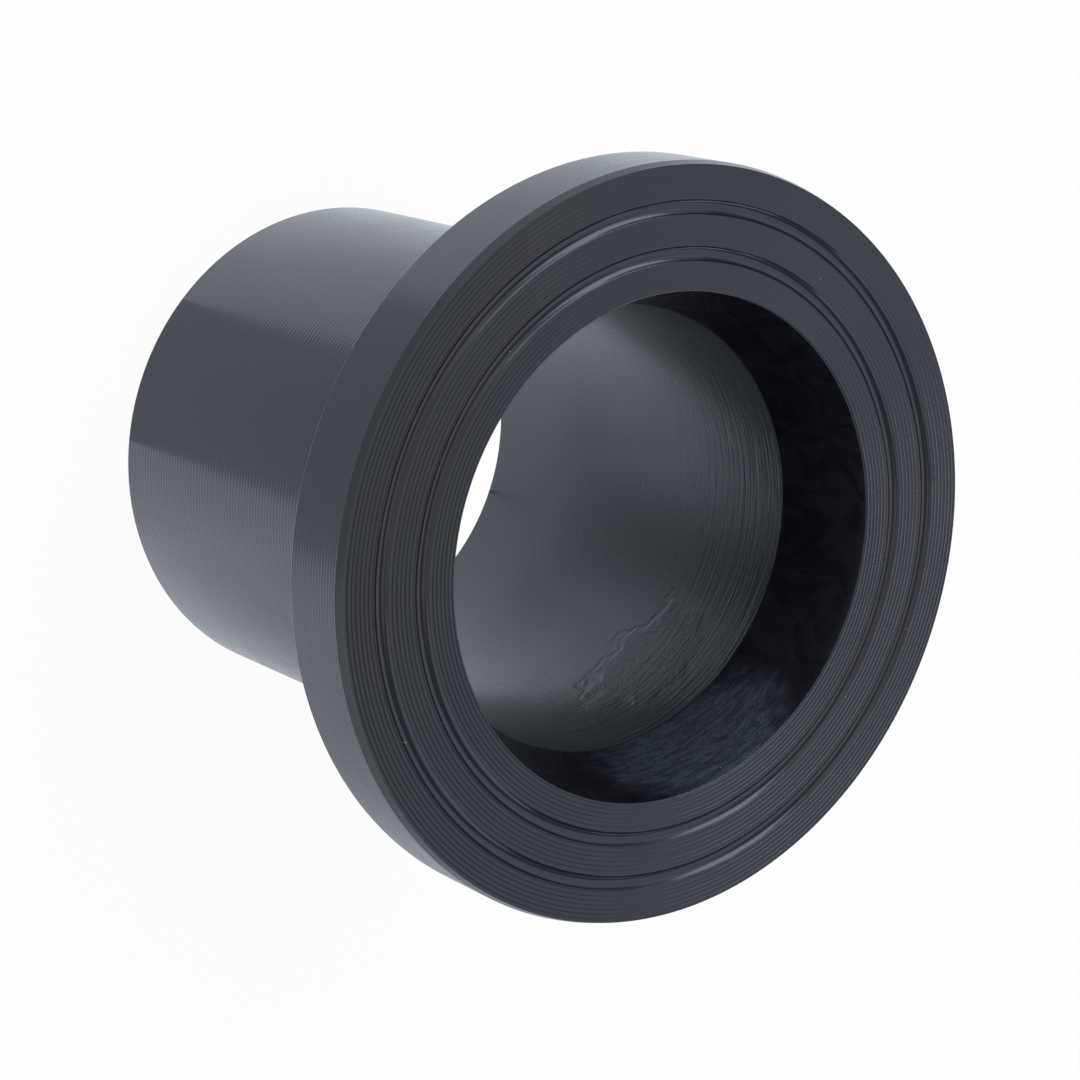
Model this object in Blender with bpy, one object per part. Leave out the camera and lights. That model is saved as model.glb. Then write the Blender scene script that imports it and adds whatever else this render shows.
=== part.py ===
"""Polyethylene stub end for a 110 mm pipe: a plain spigot with a turned collar at its head.

The spigot is welded to the pipe. A loose backing flange slides over it, centres on the
shoulder and bears on the back of the collar, which it bolts against the mating flange.
The sealing face has two shallow ring grooves, and its mouth tapers down to the bore.

The part stands on its spigot end: the pipe axis is Z, and the sealing face is on top.
"""
from math import atan2, cos, pi, radians, sin, tan

import bmesh
import bpy
from mathutils import Vector

# Driving sizes, in metres
SPIGOT_DIAMETER = 0.110       # the pipe size that the stub end is made for
BORE_DIAMETER = 0.095
COLLAR_DIAMETER = 0.158       # fits inside the bolt circle of a DN 100 backing flange
COLLAR_THICKNESS = 0.0183
SHOULDER_DIAMETER = 0.125     # centres the backing flange behind the collar
SHOULDER_WIDTH = 0.007
SHOULDER_TAPER = radians(25)  # slope of the cone from the shoulder down to the spigot
OVERALL_LENGTH = 0.128
MOUTH_DIAMETER = 0.106        # opening of the bore at the sealing face
MOUTH_DEPTH = 0.0212

# Ring grooves, which part the sealing face into equal lands
GROOVE_COUNT = 2
GROOVE_WIDTH = 0.0034
GROOVE_DEPTH = 0.0009

# Broken edges and rounded corners
FACE_CHAMFER_WIDTH = 0.0015   # outer edge of the sealing face, measured across the face
FACE_CHAMFER_DEPTH = 0.0018   # and down the rim
BACK_EDGE_RADIUS = 0.0006     # outer edge of the collar's back
ROOT_RADIUS = 0.003           # corner between the collar and the shoulder, at most half the collar's back
SHOULDER_EDGE_RADIUS = 0.002
TAPER_END_RADIUS = 0.006      # where the cone runs out into the spigot
SPIGOT_EDGE_CHAMFER = 0.0005  # both edges of the spigot's cut end
THROAT_RADIUS = 0.002         # where the mouth meets the bore
MOUTH_EDGE_RADIUS = 0.0006

# Fineness of the turned shape
FACETS_ROUND = 96             # facets once round the axis
ARC_STEPS = 3                 # straight runs in each rounded corner
GROOVE_STEPS = 8              # straight runs across each ring groove
SHARP_EDGE_ANGLE = radians(30)

# Black polyethylene
BODY_COLOUR = (0.0185, 0.0200, 0.0230, 1.0)
BODY_ROUGHNESS = 0.42


def rounded(before, corner, after, radius):
    """Return the arc that rounds a corner of the section, tangent to both of its sides."""
    corner = Vector(corner)
    to_before = (Vector(before) - corner).normalized()
    to_after = (Vector(after) - corner).normalized()
    half_angle = to_before.angle(to_after) / 2
    centre = corner + (to_before + to_after).normalized() * radius / sin(half_angle)
    first_spoke = corner + to_before * radius / tan(half_angle) - centre
    last_spoke = corner + to_after * radius / tan(half_angle) - centre
    unit_spokes = [first_spoke.slerp(last_spoke, step / ARC_STEPS) for step in range(ARC_STEPS + 1)]
    return [centre + radius * spoke for spoke in unit_spokes]


def groove_diameters():
    """Return the middle diameter of each ring groove, from the mouth outwards."""
    mouth = MOUTH_DIAMETER / 2
    face_width = COLLAR_DIAMETER / 2 - FACE_CHAMFER_WIDTH - mouth
    land_width = (face_width - GROOVE_COUNT * GROOVE_WIDTH) / (GROOVE_COUNT + 1)
    first_middle = mouth + land_width + GROOVE_WIDTH / 2
    return [2 * (first_middle + index * (land_width + GROOVE_WIDTH)) for index in range(GROOVE_COUNT)]


def ring_groove(diameter):
    """Return the round-bottomed groove in the sealing face, from its inner edge outwards."""
    half_width = GROOVE_WIDTH / 2
    arc_radius = (half_width ** 2 + GROOVE_DEPTH ** 2) / (2 * GROOVE_DEPTH)
    arc_height = OVERALL_LENGTH + arc_radius - GROOVE_DEPTH
    half_angle = atan2(half_width, arc_radius - GROOVE_DEPTH)
    angles = [half_angle * (2 * step / GROOVE_STEPS - 1) for step in range(GROOVE_STEPS + 1)]
    return [(diameter / 2 + arc_radius * sin(angle), arc_height - arc_radius * cos(angle))
            for angle in angles]


def section_corners():
    """Return each corner of the half section as its (radius, height), and its rounding.

    They run down the outer side from the sealing face to the spigot end, and up the bore
    to the mouth.
    """
    spigot = SPIGOT_DIAMETER / 2
    bore = BORE_DIAMETER / 2
    collar = COLLAR_DIAMETER / 2
    shoulder = SHOULDER_DIAMETER / 2
    face_height = OVERALL_LENGTH
    back_height = face_height - COLLAR_THICKNESS
    shoulder_height = back_height - SHOULDER_WIDTH
    taper_height = shoulder_height - (shoulder - spigot) / tan(SHOULDER_TAPER)
    return [
        ((collar - FACE_CHAMFER_WIDTH, face_height), 0),
        ((collar, face_height - FACE_CHAMFER_DEPTH), 0),
        ((collar, back_height), BACK_EDGE_RADIUS),
        ((shoulder, back_height), min(ROOT_RADIUS, (collar - shoulder) / 2)),
        ((shoulder, shoulder_height), SHOULDER_EDGE_RADIUS),
        ((spigot, taper_height), TAPER_END_RADIUS),
        ((spigot, SPIGOT_EDGE_CHAMFER), 0),
        ((spigot - SPIGOT_EDGE_CHAMFER, 0), 0),
        ((bore + SPIGOT_EDGE_CHAMFER, 0), 0),
        ((bore, SPIGOT_EDGE_CHAMFER), 0),
        ((bore, face_height - MOUTH_DEPTH), THROAT_RADIUS),
        ((MOUTH_DIAMETER / 2, face_height), MOUTH_EDGE_RADIUS),
    ]


def stub_end_section():
    """Return the closed half section, with its corners rounded and its face grooved."""
    corners = section_corners()
    section = []
    for index, (corner, rounding) in enumerate(corners):
        if rounding:
            before = corners[index - 1][0]
            after = corners[(index + 1) % len(corners)][0]
            section += rounded(before, corner, after, rounding)
        else:
            section.append(corner)
    for diameter in groove_diameters():
        section += ring_groove(diameter)
    return section


def turned_mesh(name, section):
    """Turn a closed half section once round the Z axis."""
    outline = bmesh.new()
    points = [outline.verts.new((radius, 0, height)) for radius, height in section]
    for index, point in enumerate(points):
        outline.edges.new((points[index - 1], point))
    bmesh.ops.spin(outline, geom=outline.verts[:] + outline.edges[:], cent=(0, 0, 0), axis=(0, 0, 1),
                   angle=2 * pi, steps=FACETS_ROUND, use_merge=True)
    bmesh.ops.recalc_face_normals(outline, faces=outline.faces[:])
    mesh = bpy.data.meshes.new(name)
    outline.to_mesh(mesh)
    outline.free()
    mesh.shade_smooth()
    mesh.set_sharp_from_angle(angle=SHARP_EDGE_ANGLE)
    return mesh


def black_polyethylene():
    """Return the turned black plastic of the whole part."""
    material = bpy.data.materials.new("black_polyethylene")
    material.use_nodes = True
    shader = material.node_tree.nodes["Principled BSDF"]
    shader.inputs["Base Color"].default_value = BODY_COLOUR
    shader.inputs["Roughness"].default_value = BODY_ROUGHNESS
    shader.inputs["Metallic"].default_value = 0.0
    return material


def build_stub_end():
    """Add the stub end to the scene."""
    mesh = turned_mesh("stub_end", stub_end_section())
    mesh.materials.append(black_polyethylene())
    part = bpy.data.objects.new("stub_end", mesh)
    bpy.context.scene.collection.objects.link(part)


for old in list(bpy.data.objects):
    bpy.data.objects.remove(old, do_unlink=True)
build_stub_end()
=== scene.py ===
"""Looks of a black polyethylene stub end for a 110 mm pipe, standing on its spigot end.

The whole part is one turned body, so one mesh replaces the plain solid. It keeps the solid's
outline and adds what the lathe and the mould leave on it: feed marks, ring grooves with eased
edges, a satin bore, a glossy moulded mouth and a scraped patch in it.
"""
from math import atan2, cos, pi, radians, sin, tan

import bpy
from mathutils import Matrix, Vector


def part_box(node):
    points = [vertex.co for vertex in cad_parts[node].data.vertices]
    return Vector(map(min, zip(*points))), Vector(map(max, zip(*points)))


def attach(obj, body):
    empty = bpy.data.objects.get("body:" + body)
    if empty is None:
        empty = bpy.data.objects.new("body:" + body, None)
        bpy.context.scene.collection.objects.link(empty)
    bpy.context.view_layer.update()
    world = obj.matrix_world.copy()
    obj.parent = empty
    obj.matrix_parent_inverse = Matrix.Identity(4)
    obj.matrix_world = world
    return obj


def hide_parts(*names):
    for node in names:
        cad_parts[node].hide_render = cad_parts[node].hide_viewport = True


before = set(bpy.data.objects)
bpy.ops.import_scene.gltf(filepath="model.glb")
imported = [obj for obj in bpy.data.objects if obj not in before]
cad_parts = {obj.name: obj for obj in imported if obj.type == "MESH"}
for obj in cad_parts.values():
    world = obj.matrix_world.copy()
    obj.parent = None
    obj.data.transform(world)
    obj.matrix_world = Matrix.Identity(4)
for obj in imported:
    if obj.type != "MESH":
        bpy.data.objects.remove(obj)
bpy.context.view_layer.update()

MM = 0.001

# Turned outline, in millimetres. The collar's radius and the face's height come from the frame.
COLLAR_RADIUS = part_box("stub_end")[1].x / MM
FACE_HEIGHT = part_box("stub_end")[1].z / MM
SPIGOT_RADIUS = 55.0
BORE_RADIUS = 47.5
COLLAR_THICKNESS = 18.3
SHOULDER_RADIUS = 62.5
SHOULDER_WIDTH = 7.0
SHOULDER_TAPER = radians(25)
MOUTH_RADIUS = 53.0
MOUTH_DEPTH = 21.2
FACE_CHAMFER_WIDTH = 0.6
FACE_CHAMFER_DEPTH = 2.0
SPIGOT_EDGE_CHAMFER = 0.5
THROAT_ROUNDING = 2.0
MOUTH_EDGE_ROUNDING = 0.5
BACK_EDGE_ROUNDING = 0.6
ROOT_ROUNDING = 3.0
SHOULDER_ROUNDING = 2.0
TAPER_END_ROUNDING = 6.0

# Ring grooves, which part the sealing face into lands. The last land runs out to the chamfer.
GROOVE_COUNT = 2
LAND_WIDTH = 5.9
GROOVE_WIDTH = 3.4
GROOVE_DEPTH = 0.9
GROOVE_EDGE_ROUNDING = 0.25
GROOVE_FLOOR_STEPS = 14
GROOVE_EDGE_STEPS = 4

# Marks that the lathe tool leaves
FACE_FEED = 1.0
FACE_MARK_DEPTH = 0.085
FACE_MARK_LEAN = 0.3        # the steeper side of each mark faces outwards
SHALLOW_SHARE = 0.35        # the face ran out of true, so its marks are shallower on one side
DEEPEST_MARKS = radians(65)
RIM_FEED = 1.0
RIM_MARK_DEPTH = 0.03
CHAMFER_FEED = 0.7
CHAMFER_MARK_DEPTH = 0.02
STEPS_PER_MARK = 5

SEGMENTS_ROUND = 256
SHARP_EDGE_ANGLE = radians(25)   # less than the crests of the feed marks turn through
FINISHES = ("turned", "faced", "grooved", "bore", "mouth")


def rounded(before, corner, after, radius, steps):
    """Return the arc that rounds a corner of the outline, tangent to both of its sides."""
    corner = Vector(corner)
    to_before = (Vector(before) - corner).normalized()
    to_after = (Vector(after) - corner).normalized()
    half_angle = to_before.angle(to_after) / 2
    centre = corner + (to_before + to_after).normalized() * radius / sin(half_angle)
    first = corner + to_before * radius / tan(half_angle) - centre
    last = corner + to_after * radius / tan(half_angle) - centre
    return [centre + radius * first.slerp(last, step / steps) for step in range(steps + 1)]


def marked_cut(start, end, feed, depth, lean=0.5):
    """Return points along a straight cut, hollowed between its crests by the round tool nose.

    The deepest point of each hollow is at the given share of the way to the next crest.
    """
    start, end = Vector(start), Vector(end)
    run = end - start
    inwards = Vector((run.y, -run.x)).normalized()
    marks = round(run.length / feed)
    points = []
    for index in range(marks * STEPS_PER_MARK):
        mark, step = divmod(index, STEPS_PER_MARK)
        share = step / STEPS_PER_MARK
        place = 2 * lean * share if share < 0.5 else lean + (2 * share - 1) * (1 - lean)
        hollow = depth * 4 * share * (1 - share)
        points.append(start + run * (mark + place) / marks + inwards * hollow)
    return points


def straight(start, end, steps):
    """Return evenly spaced points from start up to, but without, end."""
    start, end = Vector(start), Vector(end)
    return [start.lerp(end, step / steps) for step in range(steps)]


def ring_groove(middle):
    """Return the round-bottomed groove with eased edges, from its inner edge outwards."""
    half_width = GROOVE_WIDTH / 2
    swing = (half_width ** 2 + GROOVE_DEPTH ** 2) / (2 * GROOVE_DEPTH)
    floor_radius = swing - GROOVE_EDGE_ROUNDING
    edge_angle = atan2(half_width, swing - GROOVE_DEPTH)
    centre_height = FACE_HEIGHT + floor_radius - GROOVE_DEPTH
    edge_height = FACE_HEIGHT - GROOVE_EDGE_ROUNDING
    inner_edge, floor, outer_edge = [], [], []
    for step in range(GROOVE_EDGE_STEPS):
        angle = edge_angle * step / GROOVE_EDGE_STEPS
        across, up = GROOVE_EDGE_ROUNDING * sin(angle), GROOVE_EDGE_ROUNDING * cos(angle)
        inner_edge.append((middle - half_width + across, edge_height + up))
        outer_edge.append((middle + half_width - across, edge_height + up))
    for step in range(GROOVE_FLOOR_STEPS + 1):
        angle = edge_angle * (2 * step / GROOVE_FLOOR_STEPS - 1)
        floor.append((middle + floor_radius * sin(angle), centre_height - floor_radius * cos(angle)))
    return inner_edge + floor + outer_edge[::-1]


def outline():
    """Return the closed half section as (radius, height, finish) points.

    It runs down the outside from the face to the spigot end, up the bore and out over the face.
    """
    back = FACE_HEIGHT - COLLAR_THICKNESS
    shoulder_end = back - SHOULDER_WIDTH
    taper_end = shoulder_end - (SHOULDER_RADIUS - SPIGOT_RADIUS) / tan(SHOULDER_TAPER)
    face_edge = (COLLAR_RADIUS - FACE_CHAMFER_WIDTH, FACE_HEIGHT)
    rim_start = (COLLAR_RADIUS, FACE_HEIGHT - FACE_CHAMFER_DEPTH)
    rim_end = (COLLAR_RADIUS, back + BACK_EDGE_ROUNDING)
    back_edge = (COLLAR_RADIUS, back)
    root = (SHOULDER_RADIUS, back)
    shoulder = (SHOULDER_RADIUS, shoulder_end)
    taper = (SPIGOT_RADIUS, taper_end)
    spigot_edge = (SPIGOT_RADIUS, SPIGOT_EDGE_CHAMFER)
    foot_outside = (SPIGOT_RADIUS - SPIGOT_EDGE_CHAMFER, 0)
    foot_inside = (BORE_RADIUS + SPIGOT_EDGE_CHAMFER, 0)
    bore_edge = (BORE_RADIUS, SPIGOT_EDGE_CHAMFER)
    throat = (BORE_RADIUS, FACE_HEIGHT - MOUTH_DEPTH)
    mouth = (MOUTH_RADIUS, FACE_HEIGHT)

    throat_arc = rounded(bore_edge, throat, mouth, THROAT_ROUNDING, steps=6)
    mouth_arc = rounded(throat, mouth, face_edge, MOUTH_EDGE_ROUNDING, steps=5)
    taper_arc = rounded(shoulder, taper, spigot_edge, TAPER_END_ROUNDING, steps=6)
    stretches = [
        ("faced", marked_cut(face_edge, rim_start, CHAMFER_FEED, CHAMFER_MARK_DEPTH)),
        ("faced", marked_cut(rim_start, rim_end, RIM_FEED, RIM_MARK_DEPTH)),
        ("turned", rounded(rim_start, back_edge, root, BACK_EDGE_ROUNDING, steps=4)),
        ("turned", rounded(back_edge, root, shoulder, ROOT_ROUNDING, steps=6)),
        ("turned", rounded(root, shoulder, taper, SHOULDER_ROUNDING, steps=5)),
        ("turned", taper_arc),
        ("turned", straight(taper_arc[-1], spigot_edge, steps=24)[1:]),
        ("turned", [spigot_edge]),
        ("turned", straight(foot_outside, foot_inside, steps=4)),
        ("turned", [foot_inside]),
        ("bore", straight(bore_edge, throat_arc[0], steps=24)),
        ("bore", throat_arc),
        ("mouth", straight(throat_arc[-1], mouth_arc[0], steps=10)[1:]),
        ("mouth", mouth_arc[:-1]),
    ]
    land_start = MOUTH_RADIUS
    for index in range(GROOVE_COUNT + 1):
        start = max(land_start, mouth_arc[-1].x)
        land_end = land_start + LAND_WIDTH if index < GROOVE_COUNT else face_edge[0]
        land = marked_cut((start, FACE_HEIGHT), (land_end, FACE_HEIGHT), FACE_FEED, FACE_MARK_DEPTH,
                          FACE_MARK_LEAN)
        stretches.append(("faced", land))
        if index < GROOVE_COUNT:
            stretches.append(("grooved", ring_groove(land_end + GROOVE_WIDTH / 2)))
        land_start = land_end + GROOVE_WIDTH
    return [(point[0], point[1], finish) for finish, points in stretches for point in points]


def stub_end_mesh():
    """Turn the outline once round the pipe axis."""
    section = outline()
    count = len(section)
    just_below = FACE_HEIGHT - 1.01 * FACE_MARK_DEPTH
    face_marks = [finish == "faced" and height > just_below for radius, height, finish in section]
    vertices = []
    for segment in range(SEGMENTS_ROUND):
        angle = 2 * pi * segment / SEGMENTS_ROUND
        depth_share = 1 - (1 - SHALLOW_SHARE) * (1 - cos(angle - DEEPEST_MARKS)) / 2
        for (radius, height, finish), marked in zip(section, face_marks):
            if marked:
                height = FACE_HEIGHT - depth_share * (FACE_HEIGHT - height)
            vertices.append((MM * radius * cos(angle), MM * radius * sin(angle), MM * height))
    faces, finishes = [], []
    for segment in range(SEGMENTS_ROUND):
        here, there = segment * count, (segment + 1) % SEGMENTS_ROUND * count
        for index in range(count):
            after = (index + 1) % count
            faces.append((here + index, here + after, there + after, there + index))
            finishes.append(FINISHES.index(section[after][2]))
    mesh = bpy.data.meshes.new("stub_end_body")
    mesh.from_pydata(vertices, [], faces)
    mesh.polygons.foreach_set("material_index", finishes)
    mesh.shade_smooth()
    mesh.set_sharp_from_angle(angle=SHARP_EDGE_ANGLE)
    return mesh


BLACK = "#0B0D10"            # carbon black polyethylene
WARM_BROWN_TINT_AND_REFLECTION = "#19130F"    # brownish: on the face's near side in patches, and in the grooves a painted warm reflection
MELT_BROWN = "#1A1715"
MOULDED_BLACK = "#0D0D10"
FLOW_BLACK = "#141418"
TORN_BLACK = "#14171C"
SCRAPED_BLUE = "#2B313A"
DUST = "#8C8A84"
PLASTIC_SHEEN = "#EEF5FF"
POLYETHYLENE_IOR = 1.54

# Roughness of each finish, in its smoother and its rougher streaks
TURNED_SATIN = (0.19, 0.25)
FACED_SATIN = (0.22, 0.27)
GROOVE_GLOSS = (0.12, 0.18)
BORE_SATIN = (0.29, 0.34)
MOUTH_GLOSS = (0.24, 0.30)
MELT_ROUGHER = 0.05
SCRAPE_ROUGHER = 0.18

# Depth of each relief, in millimetres. The real tool lines between the feed marks are too fine to
# show in the picture, so they are drawn coarser and deeper.
SPIGOT_FEED = 1.2
SPIGOT_LINE_DEPTH = 0.020
SPIGOT_RUFFLE = 0.010
SPIGOT_FEED_DRIFT = 5.0     # how far the rings wander out of step, in radians
FACE_LINE_DEPTH = 0.030
FACE_GRAIN = 0.006
GROOVE_LINE_DEPTH = 0.020
BORE_RING_DEPTH = 0.110
BORE_FINE_RING_DEPTH = 0.055
PIT_DEPTH = 0.015
MELT_MOTTLE_DEPTH = 0.120
MELT_EDGE_DEPTH = 0.070
FLOW_DEPTH = 0.10
FOLD_DEPTH = 0.03
SCRAPE_DEPTH = 0.25

# Middle azimuth and height, half length and half height
MELT_PATCH = (radians(58), 85.0, 20.0, 15.0)
SCRAPED_PATCH = (radians(41), 117.0, 22.0, 14.0)

# Distance from a patch's middle over which it fades, where 1 is half its length or height
MELT_FADE = (1.35, 1.10)
MELT_EDGE_OUTSIDE = (1.36, 1.25)
MELT_EDGE_INSIDE = (1.14, 1.25)
SCRAPE_FADE = (1.45, 0.95)
OUT_OF_REACH = 5.0

# Where things fade in, in millimetres: heights in the bore, and places across the face
RINGS_FADE_IN = (62.0, 98.0)
MELT_DEEP_SIDE = (84.0, 76.0)
FILM_FADE_IN = (-22.0, -60.0)

# The part of its range over which noise goes from one extreme of a finish to the other
STREAK_SPREAD = (0.3, 0.7)
SMOOTH = {"interpolation_type": "SMOOTHSTEP"}


def linear(hex_colour):
    """Turn an sRGB hex colour to linear RGBA."""
    channels = [int(hex_colour[place:place + 2], 16) / 255 for place in (1, 3, 5)]
    return [c / 12.92 if c <= 0.04045 else ((c + 0.055) / 1.055) ** 2.4 for c in channels] + [1.0]


def add_node(tree, kind, inputs=(), **settings):
    """Add a node with its settings and links, and return it.

    Its inputs are given in the order of its sockets, or by the name or number of each. An input is
    a value, a socket, or a node, which is linked from its first output in use.
    """
    node = tree.nodes.new("ShaderNode" + kind)
    for name, value in settings.items():
        setattr(node, name, value)
    for socket, value in inputs.items() if isinstance(inputs, dict) else enumerate(inputs):
        if isinstance(value, bpy.types.Node):
            value = next(output for output in value.outputs if output.enabled)
        if isinstance(value, bpy.types.NodeSocket):
            tree.links.new(value, node.inputs[socket])
        else:
            node.inputs[socket].default_value = value
    return node


def bare_material(name):
    """Return a new material without nodes, and its node tree."""
    material = bpy.data.materials.new(name)
    material.use_nodes = True
    material.node_tree.nodes.clear()
    return material, material.node_tree


def surface_places(tree):
    """Return where a place is on the part: its point, radius and height in millimetres, and heading.

    The heading is the unit vector away from the pipe axis.
    """
    point = add_node(tree, "TexCoord").outputs["Object"]
    in_mm = add_node(tree, "VectorMath", {0: point, "Scale": 1 / MM}, operation="SCALE")
    parts = add_node(tree, "SeparateXYZ", [in_mm])
    level = add_node(tree, "CombineXYZ", [parts.outputs["X"], parts.outputs["Y"]])
    return {
        "point": in_mm,
        "y": parts.outputs["Y"],
        "height": parts.outputs["Z"],
        "radius": add_node(tree, "VectorMath", [level], operation="LENGTH"),
        "heading": add_node(tree, "VectorMath", [level], operation="NORMALIZE"),
    }


def streaks(tree, places, across, turns, per_mm, seed, detail=3.0):
    """Return noise drawn out round the part.

    It changes about per_mm times in each millimetre across the streaks, and turns sets how often
    it changes on the way round.
    """
    rise = add_node(tree, "Math", [places[across], per_mm, seed], operation="MULTIPLY_ADD")
    up = add_node(tree, "CombineXYZ", {"Z": rise})
    spot = add_node(tree, "VectorMath", [places["heading"], (turns, turns, 0), up],
                    operation="MULTIPLY_ADD")
    return add_node(tree, "TexNoise", {"Vector": spot, "Scale": 1.0, "Detail": detail,
                                       "Roughness": 0.6})


def patch(tree, places, azimuth, height, half_length, half_height, ragged, grain):
    """Return how far a place is from a patch's middle, 1 on its edge, with a ragged edge."""
    sideways = (-sin(azimuth), cos(azimuth), 0)
    outwards = (cos(azimuth), sin(azimuth), 0)
    along = add_node(tree, "VectorMath", [places["point"], sideways], operation="DOT_PRODUCT")
    along = add_node(tree, "Math", [along, half_length], operation="DIVIDE")
    rise = add_node(tree, "Math", [places["height"], height], operation="SUBTRACT")
    rise = add_node(tree, "Math", [rise, half_height], operation="DIVIDE")
    spot = add_node(tree, "CombineXYZ", [along, rise])
    reach = add_node(tree, "VectorMath", [spot], operation="LENGTH")
    ripple = add_node(tree, "TexNoise", {"Vector": places["point"], "Scale": 1 / grain, "Detail": 3.0})
    edge = add_node(tree, "Math", [ripple, ragged, reach], operation="MULTIPLY_ADD")
    facing = add_node(tree, "VectorMath", [places["heading"], outwards], operation="DOT_PRODUCT")
    behind = add_node(tree, "Math", [facing, 0.0], operation="LESS_THAN")
    return add_node(tree, "Math", [behind, OUT_OF_REACH, edge], operation="MULTIPLY_ADD")


def dusted(tree, places, colour, spacing, size, share):
    """Return the colour with fine pale specks: that share of the cells of a grid hold one.

    Real dust is finer than the picture shows, so the specks are drawn as large as they need.
    """
    cells = add_node(tree, "TexVoronoi", {"Vector": places["point"], "Scale": 1 / spacing})
    number = add_node(tree, "SeparateColor", [cells.outputs["Color"]])
    chosen = add_node(tree, "Math", [number, share], operation="LESS_THAN")
    near = add_node(tree, "Math", [cells, size / spacing], operation="LESS_THAN")
    speck = add_node(tree, "Math", [near, chosen], operation="MULTIPLY")
    return add_node(tree, "Mix", {0: speck, 6: colour, 7: linear(DUST)}, data_type="RGBA")


def layered_relief(tree, *layers):
    """Return the sum of relief layers: each is a pattern, its depth and how much of it shows."""
    total = 0.0
    for pattern, depth, shown in layers:
        depth = add_node(tree, "Math", [shown, depth], operation="MULTIPLY")
        total = add_node(tree, "Math", [pattern, depth, total], operation="MULTIPLY_ADD")
    return total


def add_polyethylene(tree, colour, roughness, relief):
    """Add the shader of black polyethylene, which is nearly all sheen, faintly blue."""
    bump = add_node(tree, "Bump", {"Height": relief, "Distance": MM, "Strength": 1.0})
    shader = add_node(tree, "BsdfPrincipled", {
        "Base Color": colour, "Roughness": roughness, "Normal": bump, "IOR": POLYETHYLENE_IOR,
        "Specular Tint": linear(PLASTIC_SHEEN)})
    add_node(tree, "OutputMaterial", {"Surface": shader})


def turned_polyethylene():
    """Polyethylene turned on a lathe: satin, with fine rings that ruffle what it reflects."""
    material, tree = bare_material("turned_polyethylene")
    places = surface_places(tree)
    slow = streaks(tree, places, "height", turns=3.0, per_mm=0.25, seed=4.0)
    fine = streaks(tree, places, "height", turns=5.0, per_mm=1.6, seed=11.0)
    drift = add_node(tree, "Math", [slow, SPIGOT_FEED_DRIFT], operation="MULTIPLY")
    turn = add_node(tree, "Math", [places["height"], 2 * pi / SPIGOT_FEED, drift],
                    operation="MULTIPLY_ADD")
    rings = add_node(tree, "Math", [turn], operation="SINE")
    relief = layered_relief(tree, (rings, SPIGOT_LINE_DEPTH, slow), (fine, SPIGOT_RUFFLE, 1.0))
    colour = dusted(tree, places, linear(BLACK), spacing=6.0, size=0.12, share=0.12)
    roughness = add_node(tree, "MapRange", [fine, *STREAK_SPREAD, *TURNED_SATIN], **SMOOTH)
    add_polyethylene(tree, colour, roughness, relief)
    return material


def faced_polyethylene():
    """Polyethylene faced on a lathe: satin between the feed marks, with finer lines in each.

    Its near side is browner in patches.
    """
    material, tree = bare_material("faced_polyethylene")
    places = surface_places(tree)
    on_rim = add_node(tree, "Math", [places["height"], FACE_HEIGHT - FACE_CHAMFER_DEPTH],
                      operation="LESS_THAN")
    face_lines = streaks(tree, places, "radius", turns=2.0, per_mm=2.6, seed=3.0)
    rim_lines = streaks(tree, places, "height", turns=4.0, per_mm=1.7, seed=7.0)
    lines = add_node(tree, "Mix", {0: on_rim, 2: face_lines, 3: rim_lines})
    grain = add_node(tree, "TexNoise", {"Vector": places["point"], "Scale": 1.4, "Detail": 2.0})
    relief = layered_relief(tree, (lines, FACE_LINE_DEPTH, 1.0), (grain, FACE_GRAIN, 1.0))
    near_side = add_node(tree, "MapRange", [places["y"], *FILM_FADE_IN], **SMOOTH)
    patchy = streaks(tree, places, "radius", turns=2.5, per_mm=0.12, seed=20.0)
    patchy = add_node(tree, "MapRange", [patchy, 0.25, 0.75, 0.5, 1.0], **SMOOTH)
    warm_tint_and_reflection = add_node(tree, "Math", [near_side, patchy], operation="MULTIPLY")
    off_rim = add_node(tree, "Math", [1.0, on_rim], operation="SUBTRACT")
    warm_tint_and_reflection = add_node(tree, "Math", [warm_tint_and_reflection, off_rim], operation="MULTIPLY")
    colour = add_node(tree, "Mix", {0: warm_tint_and_reflection, 6: linear(BLACK), 7: linear(WARM_BROWN_TINT_AND_REFLECTION)},
                      data_type="RGBA")
    colour = dusted(tree, places, colour, spacing=4.5, size=0.14, share=0.10)
    roughness = add_node(tree, "MapRange", [lines, *STREAK_SPREAD, *FACED_SATIN], **SMOOTH)
    add_polyethylene(tree, colour, roughness, relief)
    return material


def grooved_polyethylene():
    """Polyethylene cut by a form tool: smoother and glossier than the face. A painted warm reflection
    browns it on the near and far sides of the ring.
    """
    material, tree = bare_material("grooved_polyethylene")
    places = surface_places(tree)
    lines = streaks(tree, places, "radius", turns=2.0, per_mm=3.0, seed=9.0)
    # Painted reflection: the groove is browner where it runs along the near and far sides, as if it
    # mirrored a warm studio there
    side = add_node(tree, "SeparateXYZ", [places["heading"]]).outputs["Y"]
    sides = add_node(tree, "Math", [side, side], operation="MULTIPLY")
    warm_tint_and_reflection = add_node(tree, "MapRange", [sides, 0.35, 0.9], **SMOOTH)
    colour = add_node(tree, "Mix", {0: warm_tint_and_reflection, 6: linear(BLACK), 7: linear(WARM_BROWN_TINT_AND_REFLECTION)},
                      data_type="RGBA")
    colour = dusted(tree, places, colour, spacing=3.0, size=0.16, share=0.10)
    roughness = add_node(tree, "MapRange", [lines, *STREAK_SPREAD, *GROOVE_GLOSS], **SMOOTH)
    add_polyethylene(tree, colour, roughness, layered_relief(tree, (lines, GROOVE_LINE_DEPTH, 1.0)))
    return material


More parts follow.
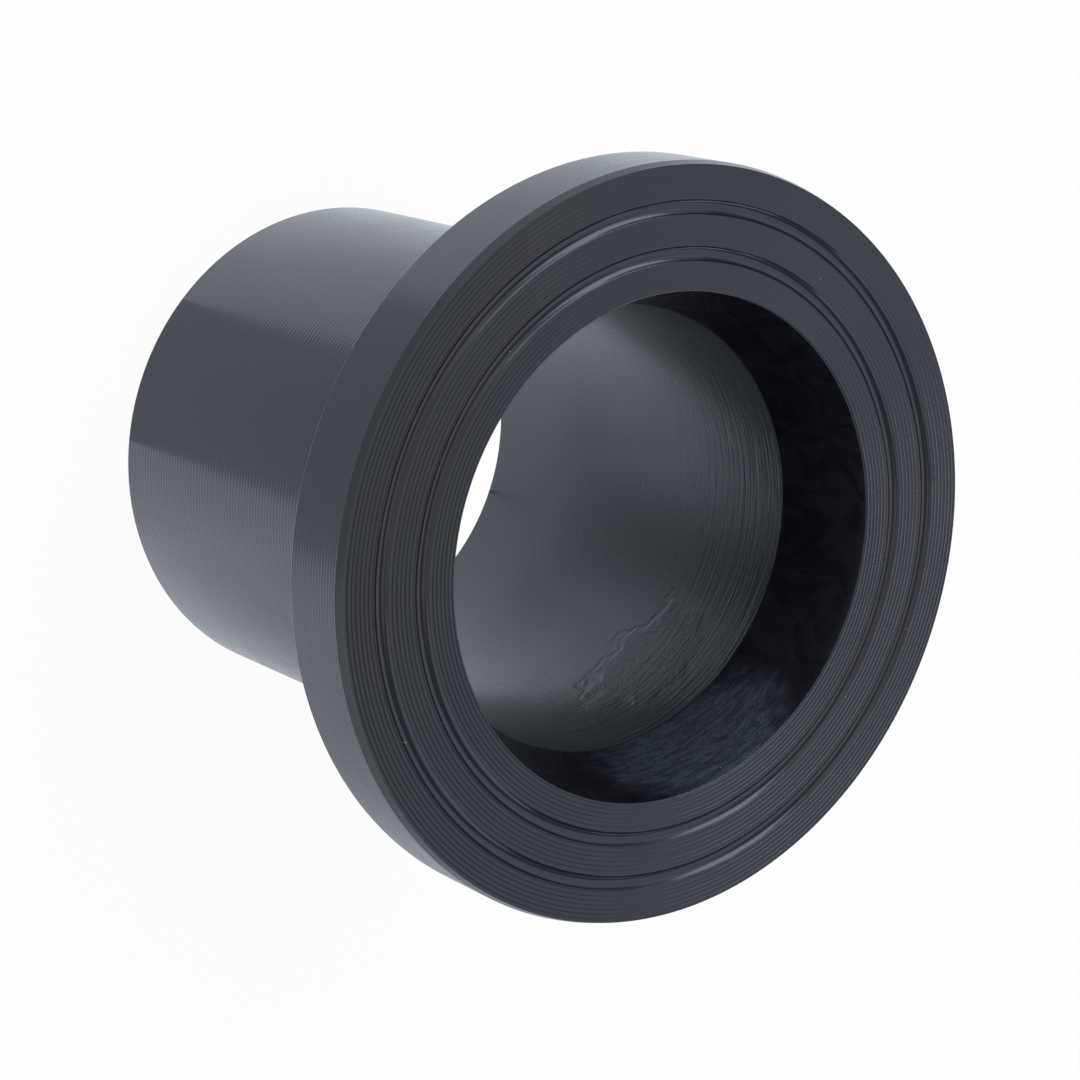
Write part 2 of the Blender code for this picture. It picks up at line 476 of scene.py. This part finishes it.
def bore_polyethylene():
    """Drawn and trimmed polyethylene: soft satin and faintly pitted, with rings near the throat.

    Heat has left a mottled brownish patch with a crisp edge on its deep side. The rings lie about
    a millimetre apart. The finer ones between them are drawn as coarse as they need to show.
    """
    material, tree = bare_material("bore_polyethylene")
    places = surface_places(tree)
    near_throat = add_node(tree, "MapRange", [places["height"], *RINGS_FADE_IN], **SMOOTH)
    rings = streaks(tree, places, "height", turns=1.6, per_mm=1.1, seed=5.0)
    fine_rings = streaks(tree, places, "height", turns=4.0, per_mm=2.2, seed=15.0)
    fine_share = add_node(tree, "MapRange", [near_throat, 0.0, 1.0, 0.35, 1.0], **SMOOTH)
    grain = add_node(tree, "TexNoise", {"Vector": places["point"], "Scale": 0.9, "Detail": 3.0})
    pits = add_node(tree, "MapRange", [grain, 0.40, 0.30], **SMOOTH)

    melt = patch(tree, places, *MELT_PATCH, ragged=0.9, grain=6.0)
    melt_area = add_node(tree, "MapRange", [melt, *MELT_FADE], **SMOOTH)
    edge_outside = add_node(tree, "MapRange", [melt, *MELT_EDGE_OUTSIDE], **SMOOTH)
    edge_inside = add_node(tree, "MapRange", [melt, *MELT_EDGE_INSIDE], **SMOOTH)
    melt_edge = add_node(tree, "Math", [edge_inside, edge_outside], operation="MULTIPLY")
    deep_side = add_node(tree, "MapRange", [places["height"], *MELT_DEEP_SIDE], **SMOOTH)
    mottle = add_node(tree, "TexNoise", {"Vector": places["point"], "Scale": 0.75, "Detail": 4.0,
                                         "Roughness": 0.7})
    relief = layered_relief(
        tree, (rings, BORE_RING_DEPTH, near_throat), (fine_rings, BORE_FINE_RING_DEPTH, fine_share),
        (pits, -PIT_DEPTH, 1.0), (mottle, MELT_MOTTLE_DEPTH, melt_area),
        (melt_edge, -MELT_EDGE_DEPTH, deep_side))

    brown = add_node(tree, "MapRange", [mottle, 0.35, 0.7], **SMOOTH)
    brown = add_node(tree, "Math", [melt_area, brown], operation="MULTIPLY")
    colour = add_node(tree, "Mix", {0: brown, 6: linear(BLACK), 7: linear(MELT_BROWN)},
                      data_type="RGBA")
    colour = dusted(tree, places, colour, spacing=7.0, size=0.13, share=0.12)
    roughness = add_node(tree, "MapRange", [fine_rings, *STREAK_SPREAD, *BORE_SATIN], **SMOOTH)
    roughness = add_node(tree, "Math", [melt_area, MELT_ROUGHER, roughness],
                         operation="MULTIPLY_ADD")
    add_polyethylene(tree, colour, roughness, relief)
    return material


def moulded_mouth_polyethylene():
    """Moulded polyethylene: near black and glossy with soft flow marks, and a scraped patch.

    The scraping left a torn bluish grey that is lighter than the rest.
    """
    material, tree = bare_material("moulded_mouth_polyethylene")
    places = surface_places(tree)
    flow = add_node(tree, "TexNoise", {"Vector": places["point"], "Scale": 0.11, "Detail": 3.0,
                                       "Distortion": 1.5})
    folds = add_node(tree, "TexNoise", {"Vector": places["point"], "Scale": 0.35, "Detail": 4.0,
                                        "Distortion": 1.0})
    scrape = patch(tree, places, *SCRAPED_PATCH, ragged=0.5, grain=4.0)
    scraped = add_node(tree, "MapRange", [scrape, *SCRAPE_FADE], **SMOOTH)
    scratches = streaks(tree, places, "height", turns=9.0, per_mm=1.1, seed=2.0, detail=5.0)
    crumbs = add_node(tree, "TexNoise", {"Vector": places["point"], "Scale": 1.1, "Detail": 5.0,
                                         "Roughness": 0.75})
    torn = add_node(tree, "Mix", {0: 0.4, 2: scratches, 3: crumbs})
    relief = layered_relief(tree, (flow, FLOW_DEPTH, 1.0), (folds, FOLD_DEPTH, 1.0),
                            (torn, SCRAPE_DEPTH, scraped))

    flow_share = add_node(tree, "MapRange", [flow, *STREAK_SPREAD], **SMOOTH)
    smooth = add_node(tree, "Mix", {0: flow_share, 6: linear(MOULDED_BLACK), 7: linear(FLOW_BLACK)},
                      data_type="RGBA")
    torn_share = add_node(tree, "MapRange", [torn, 0.42, 0.60], **SMOOTH)
    worn = add_node(tree, "Mix", {0: torn_share, 6: linear(TORN_BLACK), 7: linear(SCRAPED_BLUE)},
                    data_type="RGBA")
    colour = add_node(tree, "Mix", {0: scraped, 6: smooth, 7: worn}, data_type="RGBA")
    colour = dusted(tree, places, colour, spacing=5.0, size=0.14, share=0.12)
    roughness = add_node(tree, "MapRange", [flow, *STREAK_SPREAD, *MOUTH_GLOSS], **SMOOTH)
    roughness = add_node(tree, "Math", [scraped, SCRAPE_ROUGHER, roughness],
                         operation="MULTIPLY_ADD")
    add_polyethylene(tree, colour, roughness, relief)
    return material


def add_stub_end():
    """Add the turned body in place of the plain solid, with its finishes in their order."""
    mesh = stub_end_mesh()
    for make_material in (turned_polyethylene, faced_polyethylene, grooved_polyethylene,
                          bore_polyethylene, moulded_mouth_polyethylene):
        mesh.materials.append(make_material())
    piece = bpy.data.objects.new("stub_end_body", mesh)
    bpy.context.scene.collection.objects.link(piece)
    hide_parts("stub_end")
    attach(piece, "root")


# Studio, in metres
COOL_WHITE = "#EDF4FF"       # the lamps' daylight
FLOOR_WHITE = "#F4F4F4"
FLOOR_GLOW_SHARE = 0.94      # the rest of the floor's light takes the part's shadow
FLOOR_HALF_WIDTH = 3.0

# Painted light on the floor, which reflections see, by azimuth round the pipe axis in degrees. It is
# uneven round the part, and it dims away from the part.
PAINTED_FLOOR_LIGHT_ROUND = (
    (-180, 1.22), (-155, 1.25), (-135, 1.38), (-120, 1.34), (-62, 1.5), (-48, 1.55), (-32, 1.28),
    (-18, 1.05), (0, 0.93), (30, 0.95), (90, 1.1), (155, 1.6), (168, 1.4), (180, 1.22))
BRIGHTEST_FLOOR = 1.6
FLOOR_DIMS_FROM = 0.25
FLOOR_DIMS_TO = 0.50
DIMMED_FLOOR = 0.6

# The front card: for each side, the azimuth at which it touches the spigot's foot, and its heading
CARD_RIGHT_SIDE = (285.0, 302.4)
CARD_LEFT_SIDE = (249.0, 225.0)
CARD_LENGTH = 1.5
FRONT_CARD_GREY = 0.87
FRONT_CARD_HEIGHT = 0.0004

# The card under the bore glows: painted light at its sides, and painted shade along its middle, in a
# wedge that narrows away from the camera
BORE_CARD_HEIGHT = 0.0002
BORE_CARD_SIDES = 60
BORE_CARD_DARK = 0.50
BORE_CARD_BRIGHT = 1.45
WEDGE_TIP = 0.026
WEDGE_TIP_HALF_WIDTH = 0.0003
WEDGE_SPREAD = 0.38
WEDGE_EDGE = (0.3, 1.8)      # where its dark fades, as shares of its half width

AIR_LIGHT = 0.43
LAMP_CENTRE = Vector((0, 0, 0.064))
LAMP_DISTANCE = 1.2
LAMP_POWER = 4               # watts from each square metre of a softbox of radiance 1

# Name, azimuth and elevation in degrees, width, height, radiance
SOFTBOXES = (
    ("key_light", 180, 36, 0.60, 0.73, 2.6),
    ("key_surround", 192, 36, 1.68, 1.39, 0.37),
    ("back_panel", 106, 44, 1.6, 0.85, 0.62),
    ("right_fill", 350, 20, 1.68, 0.87, 0.83),
    ("back_low", 76, 9, 1.5, 0.40, 1.8),
    ("front_low", 270, 14, 2.4, 0.55, 0.6),
    ("front_mid", 262, 42, 2.0, 0.55, 0.45),
    ("front_top", 270, 74, 1.3, 0.60, 0.6),
    ("left_low", 208, 14, 0.87, 0.55, 1.5),
)

# The camera's place, aim, roll and lens, fitted to the photograph
CAMERA_PLACE = (-0.0007, -0.4088, 0.6064)
CAMERA_AIM = (0.0059, -0.0329, 0.128)
CAMERA_ROLL = radians(108.877)
CAMERA_LENS = 103.33
CAMERA_SENSOR = 36.0


def spoke(azimuth):
    """Return the unit vector along the floor at an azimuth in degrees."""
    return Vector((cos(radians(azimuth)), sin(radians(azimuth))))


def painted_floor_light_round(tree):
    """Return the light painted on the floor, as reflections see it."""
    point = add_node(tree, "TexCoord").outputs["Object"]
    parts = add_node(tree, "SeparateXYZ", [point])
    azimuth = add_node(tree, "Math", [parts.outputs["Y"], parts.outputs["X"]], operation="ARCTAN2")
    turn = add_node(tree, "MapRange", [azimuth, -pi, pi])
    ramp = add_node(tree, "ValToRGB", [turn])
    stops = ramp.color_ramp.elements
    stops.remove(stops[1])
    for index, (degrees, level) in enumerate(PAINTED_FLOOR_LIGHT_ROUND):
        position = (degrees + 180) / 360
        stop = stops[0] if index == 0 else stops.new(position)
        stop.position = position
        stop.color = [level / BRIGHTEST_FLOOR] * 3 + [1.0]
    painted_floor_light = add_node(tree, "Math", [ramp, BRIGHTEST_FLOOR], operation="MULTIPLY")
    distance = add_node(tree, "VectorMath", [point], operation="LENGTH")
    dimming = add_node(tree, "MapRange", [distance, FLOOR_DIMS_FROM, FLOOR_DIMS_TO, 1.0, DIMMED_FLOOR],
                       **SMOOTH)
    return add_node(tree, "Math", [painted_floor_light, dimming], operation="MULTIPLY")


def white_floor():
    """White studio floor. It glows white for the eye, and with painted light for reflections. A little
    of it takes shadow.
    """
    material, tree = bare_material("white_studio_floor")
    path = add_node(tree, "LightPath")
    seen = add_node(tree, "Math", [path.outputs["Is Camera Ray"], path.outputs["Is Glossy Ray"]],
                    operation="MAXIMUM")
    seen = add_node(tree, "Math", [seen, path.outputs["Is Transmission Ray"]], operation="MAXIMUM")
    share = add_node(tree, "Math", [seen, FLOOR_GLOW_SHARE], operation="MULTIPLY")
    matt = add_node(tree, "BsdfDiffuse", {"Color": linear(FLOOR_WHITE)})
    white = add_node(tree, "Emission", {"Color": linear("#FFFFFF"), "Strength": 1.0})
    # Painted light: reflections see the floor glow unevenly round the part
    painted_floor_light = add_node(tree, "Emission", {"Color": linear(COOL_WHITE), "Strength": painted_floor_light_round(tree)})
    glow = add_node(tree, "MixShader", [path.outputs["Is Camera Ray"], painted_floor_light, white])
    mix = add_node(tree, "MixShader", [share, matt, glow])
    add_node(tree, "OutputMaterial", {"Surface": mix})
    return material


def front_card():
    """Even grey card that darkens what the front of the part reflects."""
    material, tree = bare_material("front_card")
    glow = add_node(tree, "Emission", {"Color": linear(COOL_WHITE), "Strength": FRONT_CARD_GREY})
    add_node(tree, "OutputMaterial", {"Surface": glow})
    return material


def bore_card():
    """Card that the satin bore reflects: it glows with painted light, and painted shade darkens its
    middle.
    """
    material, tree = bare_material("bore_card")
    parts = add_node(tree, "SeparateXYZ", [add_node(tree, "TexCoord").outputs["Object"]])
    off_middle = add_node(tree, "Math", [parts.outputs["X"]], operation="ABSOLUTE")
    half_width = add_node(tree, "Math", [parts.outputs["Y"], -WEDGE_SPREAD,
                                         WEDGE_TIP * WEDGE_SPREAD + WEDGE_TIP_HALF_WIDTH],
                          operation="MULTIPLY_ADD")
    half_width = add_node(tree, "Math", [half_width, WEDGE_TIP_HALF_WIDTH], operation="MAXIMUM")
    share = add_node(tree, "Math", [off_middle, half_width], operation="DIVIDE")
    grey = add_node(tree, "MapRange", [share, *WEDGE_EDGE, BORE_CARD_DARK, BORE_CARD_BRIGHT], **SMOOTH)
    glow = add_node(tree, "Emission", {"Color": linear(COOL_WHITE), "Strength": grey})
    add_node(tree, "OutputMaterial", {"Surface": glow})
    return material


def flat_piece(name, corners, height, material):
    """Add a flat polygon that is part of the studio, not of the object."""
    mesh = bpy.data.meshes.new(name)
    mesh.from_pydata([(x, y, height) for x, y in corners], [], [list(range(len(corners)))])
    mesh.materials.append(material)
    piece = bpy.data.objects.new(name, mesh)
    bpy.context.scene.collection.objects.link(piece)
    return piece


def add_floor():
    """Add the floor and the two cards on it that shape the part's reflections."""
    half = FLOOR_HALF_WIDTH
    flat_piece("studio_floor", [(-half, -half), (half, -half), (half, half), (-half, half)], 0.0,
               white_floor())
    foot = SPIGOT_RADIUS * MM
    right, left = foot * spoke(CARD_RIGHT_SIDE[0]), foot * spoke(CARD_LEFT_SIDE[0])
    far_right = right + CARD_LENGTH * spoke(CARD_RIGHT_SIDE[1])
    far_left = left + CARD_LENGTH * spoke(CARD_LEFT_SIDE[1])
    card = flat_piece("front_card", [left, far_left, far_right, right], FRONT_CARD_HEIGHT, front_card())
    card.visible_camera = card.visible_diffuse = card.visible_shadow = False
    disc = [foot * spoke(360 * side / BORE_CARD_SIDES) for side in range(BORE_CARD_SIDES)]
    card = flat_piece("bore_card", disc, BORE_CARD_HEIGHT, bore_card())
    card.visible_camera = False


def add_lights():
    """Hang the softboxes round the part, each facing its middle."""
    for name, azimuth, elevation, width, height, radiance in SOFTBOXES:
        away = Vector((*(cos(radians(elevation)) * spoke(azimuth)), sin(radians(elevation))))
        place = LAMP_CENTRE + LAMP_DISTANCE * away
        light = bpy.data.lights.new(name, "AREA")
        light.shape = "RECTANGLE"
        light.size, light.size_y = width, height
        light.energy = LAMP_POWER * radiance * width * height
        light.color = linear(COOL_WHITE)[:3]
        lamp = bpy.data.objects.new(name, light)
        bpy.context.scene.collection.objects.link(lamp)
        facing = (LAMP_CENTRE - place).to_track_quat("-Z", "Y")
        lamp.matrix_world = Matrix.Translation(place) @ facing.to_matrix().to_4x4()
        lamp.visible_camera = False


def add_world():
    """Fill the studio with even light."""
    world = bpy.data.worlds.new("studio_air")
    world.use_nodes = True
    background = world.node_tree.nodes["Background"]
    background.inputs["Color"].default_value = linear(COOL_WHITE)
    background.inputs["Strength"].default_value = AIR_LIGHT
    bpy.context.scene.world = world


def add_camera():
    """Add the camera that sees the part as the photograph does."""
    data = bpy.data.cameras.new("photo_camera")
    data.sensor_width = CAMERA_SENSOR
    data.lens = CAMERA_LENS
    camera = bpy.data.objects.new("photo_camera", data)
    bpy.context.scene.collection.objects.link(camera)
    view = (Vector(CAMERA_AIM) - Vector(CAMERA_PLACE)).to_track_quat("-Z", "Y").to_matrix().to_4x4()
    roll = Matrix.Rotation(CAMERA_ROLL, 4, "Z")
    camera.matrix_world = Matrix.Translation(CAMERA_PLACE) @ view @ roll
    bpy.context.scene.camera = camera


bpy.context.scene.view_settings.view_transform = "Standard"
add_camera()
add_stub_end()
add_floor()
add_lights()
add_world()
